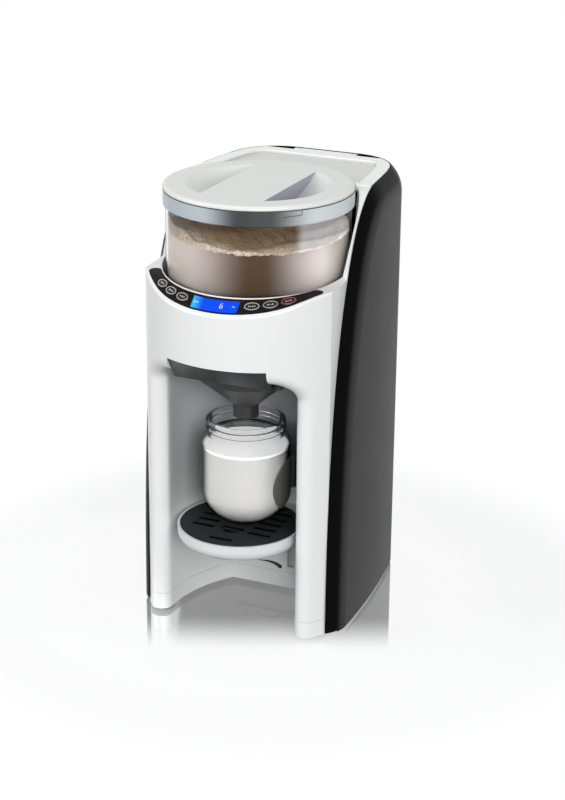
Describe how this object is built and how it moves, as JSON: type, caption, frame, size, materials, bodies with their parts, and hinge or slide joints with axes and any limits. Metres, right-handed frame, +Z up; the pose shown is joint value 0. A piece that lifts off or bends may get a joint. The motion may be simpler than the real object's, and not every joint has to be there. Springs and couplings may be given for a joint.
{
  "type": "baby formula maker",
  "caption": "Countertop formula maker: white front with an open bottle bay, dark wrap-round shell, clear powder drum with twist lid, water tank, mixing funnel, drip tray and bottle.",
  "frame": {"origin": "bottom centre of the bounding box, at the underside of the feet", "axes": "+Z up, the open bottle bay and control panel face -Y, +X to the right seen from the front"},
  "size_m": [0.2, 0.268, 0.403],
  "materials": {
    "dark_shell": "satin",
    "white_housing": "satin",
    "rubber": "matte",
    "screw_steel": "plain",
    "black_panel": "gloss",
    "blue_display": "gloss",
    "circuit": "plain",
    "clear_plastic": "clear",
    "collar_silver": "semi-clear",
    "lid_white": "satin",
    "seal_silicone": "soft",
    "inner_white": "plain",
    "gear_nylon": "plain",
    "shaft_steel": "ground",
    "motor_steel": "plain",
    "funnel_grey": "satin",
    "black_grid": "satin",
    "rail_grey": "satin",
    "bottle_clear": "clear",
    "hose_silicone": "soft",
    "heater_steel": "plain",
    "button_face": "gloss"
  },
  "bodies": {
    "machine": {"side_shell": "dark_shell", "front_housing": "white_housing", "base_ring": "white_housing", "base_screws": "screw_steel", "rubber_feet": "rubber", "cord_bush": "rubber", "control_panel": "black_panel", "display_window": "blue_display", "control_board": "circuit", "gear_plate": "inner_white", "gear_motor": "motor_steel", "powder_chute": "inner_white", "funnel_runners": "white_housing", "water_nozzle": "inner_white", "bay_rail": "rail_grey", "tank_shelf": "inner_white", "tank_seal": "seal_silicone", "supply_hose": "hose_silicone", "water_pump": "motor_steel", "heater": "heater_steel", "pump_hose": "hose_silicone", "hot_hose": "hose_silicone", "power_board": "circuit"},
    "powder_container": {"powder_container": "clear_plastic", "container_collar": "collar_silver"},
    "lid_seal": {"lid_seal": "seal_silicone"},
    "lid": {"container_lid": "lid_white"},
    "dosing_wheel": {"dosing_wheel": "inner_white", "stir_paddle": "inner_white"},
    "drive_gear": {"drive_gear": "gear_nylon", "drive_shaft": "shaft_steel"},
    "idler_gear": {"idler_gear": "gear_nylon"},
    "motor_pinion": {"motor_pinion": "gear_nylon"},
    "mixing_funnel": {"mixing_funnel": "funnel_grey"},
    "drip_tray": {"drip_tray": "white_housing", "drip_grid": "black_grid"},
    "bottle": {"bottle": "bottle_clear"},
    "water_tank": {"water_tank": "clear_plastic", "cover_pin": "shaft_steel"},
    "tank_cover": {"tank_cover": "white_housing"},
    "tank_valve": {"tank_valve": "inner_white"},
    "button_1": {"button_1": "button_face"},
    "button_2": {"button_2": "button_face"},
    "button_3": {"button_3": "button_face"},
    "button_4": {"button_4": "button_face"},
    "button_5": {"button_5": "button_face"},
    "button_6": {"button_6": "button_face"}
  },
  "joints": [
    {"name": "container_lift", "type": "slide", "parent": "machine", "child": "powder_container", "axis": [0, 0, 1], "range_m": [0, 0.12]},
    {"name": "lid_twist", "type": "hinge", "parent": "powder_container", "child": "lid_seal", "pos_m": [0, -0.034, 0.399], "axis": [0, 0, 1], "range_deg": [0, 30]},
    {"name": "lid_lift", "type": "slide", "parent": "lid_seal", "child": "lid", "axis": [0, 0, 1], "range_m": [0, 0.06]},
    {"name": "wheel_spin", "type": "hinge", "parent": "powder_container", "child": "dosing_wheel", "pos_m": [0, -0.034, 0.3136], "axis": [0, 0, 1], "continuous": true},
    {"name": "drive_spin", "type": "hinge", "parent": "machine", "child": "drive_gear", "pos_m": [0, -0.034, 0.293], "axis": [0, 0, 1], "continuous": true},
    {"name": "idler_spin", "type": "hinge", "parent": "machine", "child": "idler_gear", "pos_m": [-0.01648, 0.00135, 0.293], "axis": [0, 0, 1], "continuous": true},
    {"name": "pinion_spin", "type": "hinge", "parent": "machine", "child": "motor_pinion", "pos_m": [-0.02536, 0.02038, 0.293], "axis": [0, 0, 1], "continuous": true},
    {"name": "funnel_slide", "type": "slide", "parent": "machine", "child": "mixing_funnel", "axis": [0, -1, 0], "range_m": [0, 0.06]},
    {"name": "tray_height", "type": "slide", "parent": "machine", "child": "drip_tray", "axis": [0, 0, 1], "range_m": [-0.06, 0]},
    {"name": "bottle_slide", "type": "slide", "parent": "drip_tray", "child": "bottle", "axis": [0, -1, 0], "range_m": [0, 0.045]},
    {"name": "tank_lift", "type": "slide", "parent": "machine", "child": "water_tank", "axis": [0, 0, 1], "range_m": [0, 0.12]},
    {"name": "cover_hinge", "type": "hinge", "parent": "water_tank", "child": "tank_cover", "pos_m": [0, 0.12005, 0.3951], "axis": [-1, 0, 0], "range_deg": [0, 95]},
    {"name": "valve_lift", "type": "slide", "parent": "water_tank", "child": "tank_valve", "axis": [0, 0, 1], "range_m": [0, 0.004], "stiffness_N_per_m": 150},
    {"name": "press_1", "type": "slide", "parent": "machine", "child": "button_1", "axis": [0.1608, 0.4224, -0.8921], "range_m": [0, 0.0008], "stiffness_N_per_m": 900},
    {"name": "press_2", "type": "slide", "parent": "machine", "child": "button_2", "axis": [0.2057, 0.5439, -0.8136], "range_m": [0, 0.0008], "stiffness_N_per_m": 900},
    {"name": "press_3", "type": "slide", "parent": "machine", "child": "button_3", "axis": [0.1749, 0.6277, -0.7585], "range_m": [0, 0.0008], "stiffness_N_per_m": 900},
    {"name": "press_4", "type": "slide", "parent": "machine", "child": "button_4", "axis": [-0.1749, 0.6277, -0.7585], "range_m": [0, 0.0008], "stiffness_N_per_m": 900},
    {"name": "press_5", "type": "slide", "parent": "machine", "child": "button_5", "axis": [-0.2057, 0.5439, -0.8136], "range_m": [0, 0.0008], "stiffness_N_per_m": 900},
    {"name": "press_6", "type": "slide", "parent": "machine", "child": "button_6", "axis": [-0.1608, 0.4224, -0.8921], "range_m": [0, 0.0008], "stiffness_N_per_m": 900}
  ],
  "couplings": [
    {"joint": "drive_spin", "follows": "wheel_spin", "ratio": 1},
    {"joint": "idler_spin", "follows": "wheel_spin", "ratio": -1.6},
    {"joint": "pinion_spin", "follows": "wheel_spin", "ratio": 4}
  ]
}
